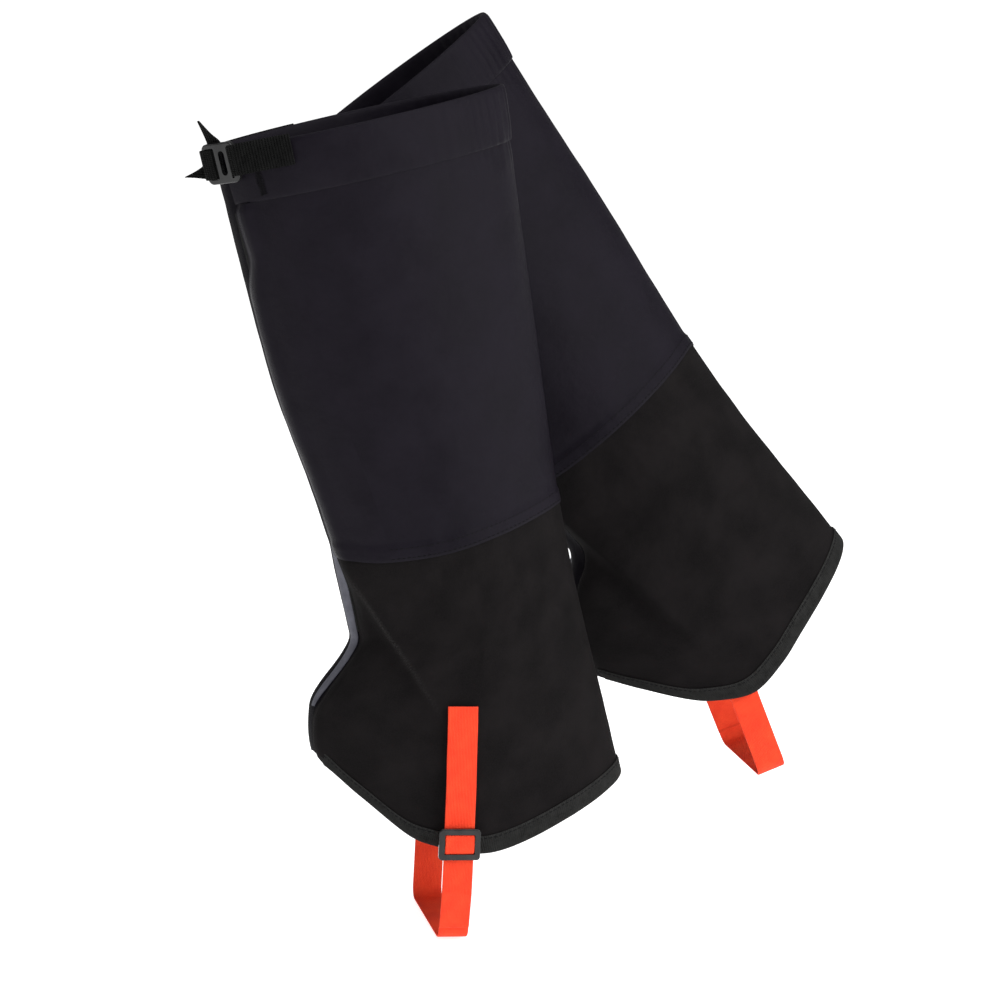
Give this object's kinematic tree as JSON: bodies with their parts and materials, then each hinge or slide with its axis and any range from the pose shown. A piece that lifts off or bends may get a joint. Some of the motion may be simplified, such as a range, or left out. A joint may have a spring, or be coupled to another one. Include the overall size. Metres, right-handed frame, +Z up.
{
  "type": "leg gaiters",
  "caption": "Pair of fabric leg gaiters with a front flap closure, a buckled top strap and webbing straps that pass under the instep, posed in a stride.",
  "frame": {"origin": "middle of the left gaiter's top opening", "axes": "-X is the way the walker faces, +Y is the walker's right, +Z is up"},
  "size_m": [0.429, 0.2103, 0.5456],
  "materials": {
    "satin_cloth": "coated satin weave",
    "heavy_cloth": "matte oxford weave",
    "binding": "woven tape",
    "seam_tape": "smooth tape",
    "elastic": "ribbed knit",
    "hook_and_loop": "bristly pile",
    "black_webbing": "ribbed weave",
    "orange_webbing": "fine twill weave",
    "buckle_plastic": "glossy moulded",
    "metal": "satin",
    "thread": "dense stitching"
  },
  "bodies": {
    "left_gaiter": {"left_upper_panel": "satin_cloth", "left_lower_panel": "heavy_cloth", "left_ankle_seam_tape": "seam_tape", "left_top_hem": "satin_cloth", "left_top_elastic": "elastic", "left_bottom_binding": "binding", "left_front_underlap": "satin_cloth", "left_hook_tape": "hook_and_loop", "left_toe_flap": "heavy_cloth", "left_top_strap_anchor": "black_webbing", "left_top_strap_run": "black_webbing", "left_instep_strap_upper": "orange_webbing", "left_instep_strap_lower": "orange_webbing", "left_hook_rivet": "metal", "left_hook_tab": "black_webbing", "left_bar_tacks": "thread"},
    "left_flap": {"left_flap_upper": "satin_cloth", "left_flap_lower": "heavy_cloth", "left_loop_tape": "hook_and_loop"},
    "left_buckle": {"left_buckle": "buckle_plastic", "left_top_strap_tail": "black_webbing"},
    "left_slider": {"left_slider": "buckle_plastic", "left_slider_webbing": "orange_webbing"},
    "left_hook": {"left_lace_hook": "metal"},
    "right_gaiter": {"right_upper_panel": "satin_cloth", "right_lower_panel": "heavy_cloth", "right_ankle_seam_tape": "seam_tape", "right_top_hem": "satin_cloth", "right_top_elastic": "elastic", "right_bottom_binding": "binding", "right_front_underlap": "satin_cloth", "right_hook_tape": "hook_and_loop", "right_toe_flap": "heavy_cloth", "right_top_strap_anchor": "black_webbing", "right_top_strap_run": "black_webbing", "right_instep_strap_upper": "orange_webbing", "right_instep_strap_lower": "orange_webbing", "right_hook_rivet": "metal", "right_hook_tab": "black_webbing", "right_bar_tacks": "thread"},
    "right_flap": {"right_flap_upper": "satin_cloth", "right_flap_lower": "heavy_cloth", "right_loop_tape": "hook_and_loop"},
    "right_buckle": {"right_buckle": "buckle_plastic", "right_top_strap_tail": "black_webbing"},
    "right_slider": {"right_slider": "buckle_plastic", "right_slider_webbing": "orange_webbing"},
    "right_hook": {"right_lace_hook": "metal"}
  },
  "joints": [
    {"name": "left_flap_hinge", "type": "hinge", "parent": "left_gaiter", "child": "left_flap", "pos_m": [-0.01863, -0.03172, -0.17444], "axis": [-0.2752, 0.0002, 0.9614], "range_deg": [0, 135]},
    {"name": "left_buckle_tilt", "type": "hinge", "parent": "left_gaiter", "child": "left_buckle", "pos_m": [-0.07662, -0.02804, -0.02309], "axis": [-0.2283, -0.0181, 0.9734], "range_deg": [0, 35]},
    {"name": "left_slider_slide", "type": "slide", "parent": "left_gaiter", "child": "left_slider", "axis": [0.0436, 0, 0.999], "range_m": [-0.02, 0.02]},
    {"name": "left_hook_swivel", "type": "hinge", "parent": "left_gaiter", "child": "left_hook", "pos_m": [-0.02814, -0.0042, -0.36493], "axis": [0.9469, 0.3214, 0.0005], "range_deg": [-25, 25]},
    {"name": "right_flap_hinge", "type": "hinge", "parent": "right_gaiter", "child": "right_flap", "pos_m": [0.07884, 0.12772, -0.16097], "axis": [0.6557, 0.0002, -0.755], "range_deg": [0, 135]},
    {"name": "right_buckle_tilt", "type": "hinge", "parent": "right_gaiter", "child": "right_buckle", "pos_m": [-0.03768, 0.12404, -0.0483], "axis": [0.6183, -0.0181, -0.7857], "range_deg": [0, 35]},
    {"name": "right_slider_slide", "type": "slide", "parent": "right_gaiter", "child": "right_slider", "axis": [-0.3453, 0, 0.9385], "range_m": [-0.02, 0.02]},
    {"name": "right_hook_swivel", "type": "hinge", "parent": "right_gaiter", "child": "right_hook", "pos_m": [0.15072, 0.1002, -0.33763], "axis": [-0.858, 0.3214, -0.4006], "range_deg": [-25, 25]},
    {"name": "right_gaiter_apart", "type": "slide", "parent": "left_gaiter", "child": "right_gaiter", "axis": [0, 1, 0], "range_m": [0, 0.3]}
  ]
}
